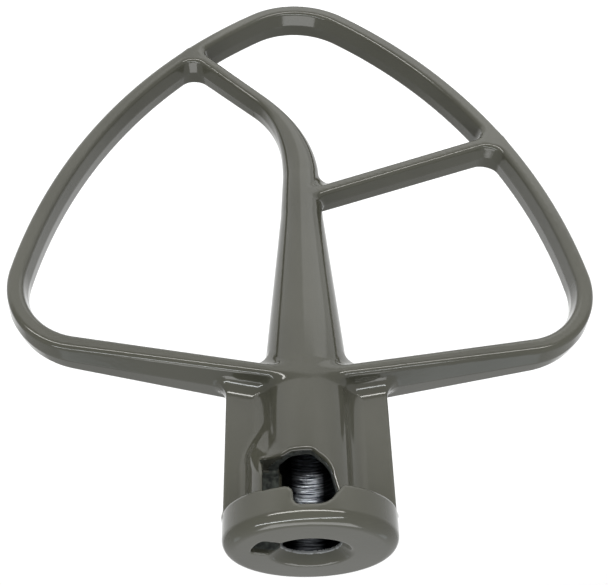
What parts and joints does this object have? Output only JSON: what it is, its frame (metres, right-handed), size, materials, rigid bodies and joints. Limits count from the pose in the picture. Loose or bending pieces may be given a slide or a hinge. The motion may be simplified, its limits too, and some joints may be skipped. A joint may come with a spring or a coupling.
{
  "type": "flat beater",
  "caption": "Coated cast flat beater for a bowl-lift stand mixer: slotted hub above a rounded triangular frame with a curved spine and a cross branch.",
  "frame": {"origin": "on the mixer shaft's axis, where the bore's wall begins inside the lead-in chamfer, 2.15 mm below the hub's end face", "axes": "+Z along the shaft axis, up towards the mixer, as the beater hangs in use; the frame lies in the XZ plane; -Y is the front, where the pin window is; +X is the side that the spine bends to"},
  "size_m": [0.1446, 0.0372, 0.1702],
  "materials": {
    "hub_coating": "gloss",
    "frame_coating": "gloss",
    "bare_bore": "turned"
  },
  "bodies": {
    "root": {"hub_collar": "hub_coating", "hub_barrel": "hub_coating", "keyway_boss": "hub_coating", "right_rib": "frame_coating", "left_rib": "frame_coating", "right_arm": "frame_coating", "left_arm": "frame_coating", "right_shoulder": "frame_coating", "left_shoulder": "frame_coating", "right_upper_rail": "frame_coating", "right_lower_rail": "frame_coating", "left_upper_rail": "frame_coating", "left_lower_rail": "frame_coating", "tip_bow": "frame_coating", "spine_post": "frame_coating", "spine_bend": "frame_coating", "spine_arm": "frame_coating", "cross_branch": "frame_coating"}
  },
  "joints": []
}
